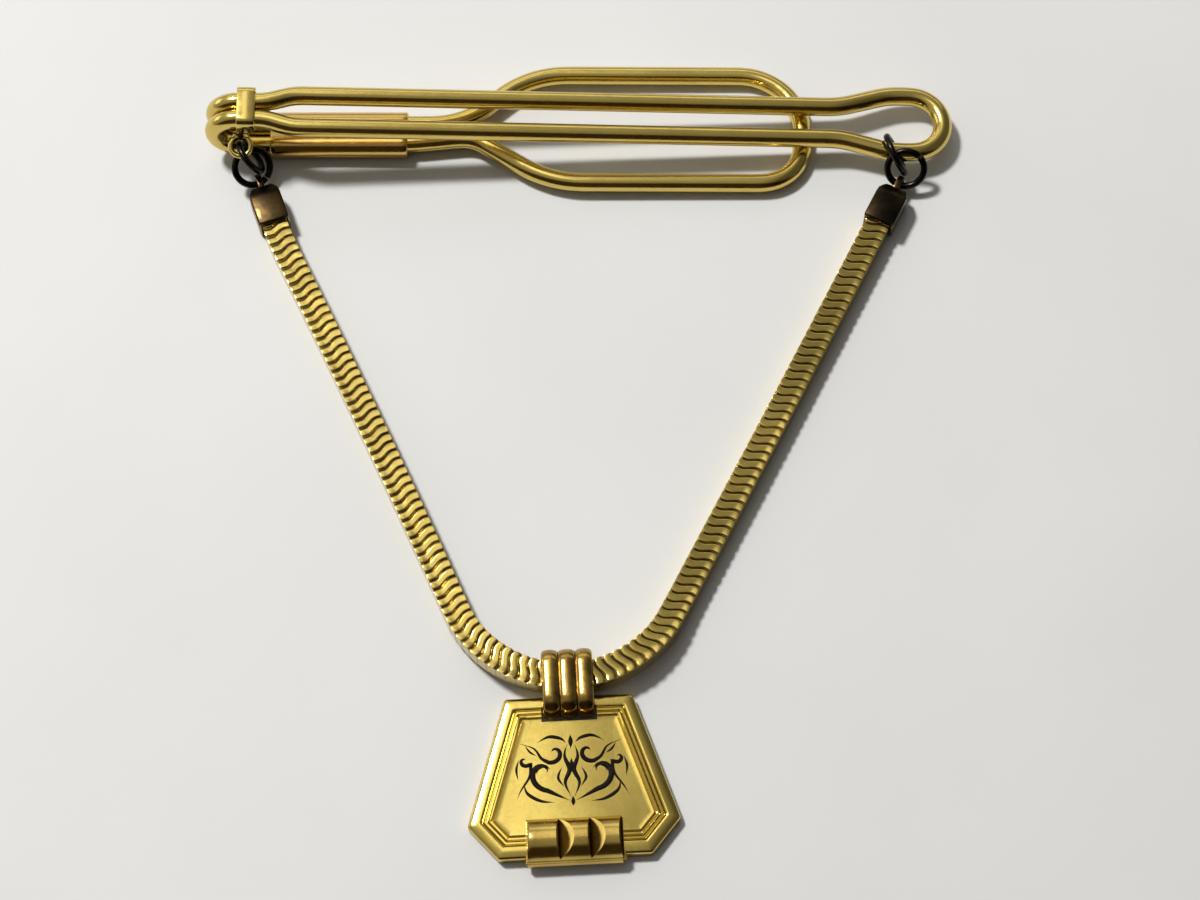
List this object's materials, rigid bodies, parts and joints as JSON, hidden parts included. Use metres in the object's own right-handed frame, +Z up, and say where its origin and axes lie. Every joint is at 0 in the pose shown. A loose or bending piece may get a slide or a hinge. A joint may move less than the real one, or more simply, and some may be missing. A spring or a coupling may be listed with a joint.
{
  "type": "tie clip with chain and fob",
  "caption": "Slim sprung wire tie clip with a long front bar and a rear loop, a flexible wavy-link chain swagged below it, and an engraved fob plate on a ridged bail.",
  "frame": {"origin": "on the surface it lies on, under the middle of the whole piece as it lies flat", "axes": "+X along the clip towards its open end, +Y from the fob to the clip, +Z up out of the surface"},
  "size_m": [0.06, 0.0672, 0.0062],
  "materials": {
    "clip_gold": "polished gold plate, rubbed",
    "chain_gold": "polished gold plate",
    "fob_gold": "satin gold plate with engraved lines",
    "cap_brass": "tarnished, plate worn from the edges",
    "ring_black": "blackened by tarnish"
  },
  "bodies": {
    "rear_clip": {"rear_loop": "clip_gold", "sleeve": "clip_gold", "rear_legs": "clip_gold"},
    "front_bar": {"front_wire": "clip_gold", "band_with_eye": "clip_gold", "spring_bend": "clip_gold"},
    "swag": {"left_end_cap": "cap_brass", "right_end_cap": "cap_brass", "chain_links_1": "chain_gold", "chain_links_2": "chain_gold", "chain_links_3": "chain_gold", "chain_links_4": "chain_gold", "chain_links_5": "chain_gold", "chain_links_6": "chain_gold", "chain_links_7": "chain_gold", "chain_links_8": "chain_gold", "chain_links_9": "chain_gold"},
    "left_upper_ring": {"left_ring_upper": "ring_black"},
    "left_lower_ring": {"left_ring_lower": "ring_black"},
    "right_upper_ring": {"right_ring_upper": "ring_black"},
    "right_lower_ring": {"right_ring_lower": "ring_black"},
    "bail": {"bail": "fob_gold"},
    "fob": {"fob_plate": "fob_gold", "fob_bar": "fob_gold"}
  },
  "joints": [
    {"name": "jaw", "type": "hinge", "parent": "rear_clip", "child": "front_bar", "pos_m": [-0.02715, 0.027, 0.0031], "axis": [0, -1, 0], "range_deg": [0, 8], "stiffness_Nm_per_rad": 0.4, "springref_deg": -6.88, "deforming": ["spring_bend"]},
    {"name": "swag_swing", "type": "hinge", "parent": "front_bar", "child": "swag", "pos_m": [0.02531, 0.02513, 0.00181], "axis": [-0.9994, -0.021, 0.0286], "range_deg": [0, 90]},
    {"name": "left_upper_ring_twist", "type": "hinge", "parent": "swag", "child": "left_upper_ring", "pos_m": [-0.02678, 0.02394, 0.00356], "axis": [-0.0053, 0.8432, -0.5376], "range_deg": [-2, 3]},
    {"name": "left_lower_ring_twist", "type": "hinge", "parent": "swag", "child": "left_lower_ring", "pos_m": [-0.02679, 0.02505, 0.00285], "axis": [0.362, -0.7371, -0.5706], "range_deg": [-7, 8]},
    {"name": "right_upper_ring_twist", "type": "hinge", "parent": "swag", "child": "right_upper_ring", "pos_m": [0.02455, 0.02576, 0.00206], "axis": [0.2696, -0.8, 0.536], "range_deg": [-1, 8]},
    {"name": "right_lower_ring_twist", "type": "hinge", "parent": "swag", "child": "right_lower_ring", "pos_m": [0.02499, 0.02422, 0.00308], "axis": [0.1974, -0.6107, -0.7669], "range_deg": [-8, 8]},
    {"name": "bail_slide", "type": "hinge", "parent": "swag", "child": "bail", "pos_m": [-0.001, -0.01051, 0.0014], "axis": [0, 0, 1], "range_deg": [-20, 20]},
    {"name": "fob_hinge", "type": "hinge", "parent": "bail", "child": "fob", "pos_m": [-0.00073, -0.02095, 0.0014], "axis": [-0.9987, -0.0506, 0], "range_deg": [0, 110]}
  ]
}
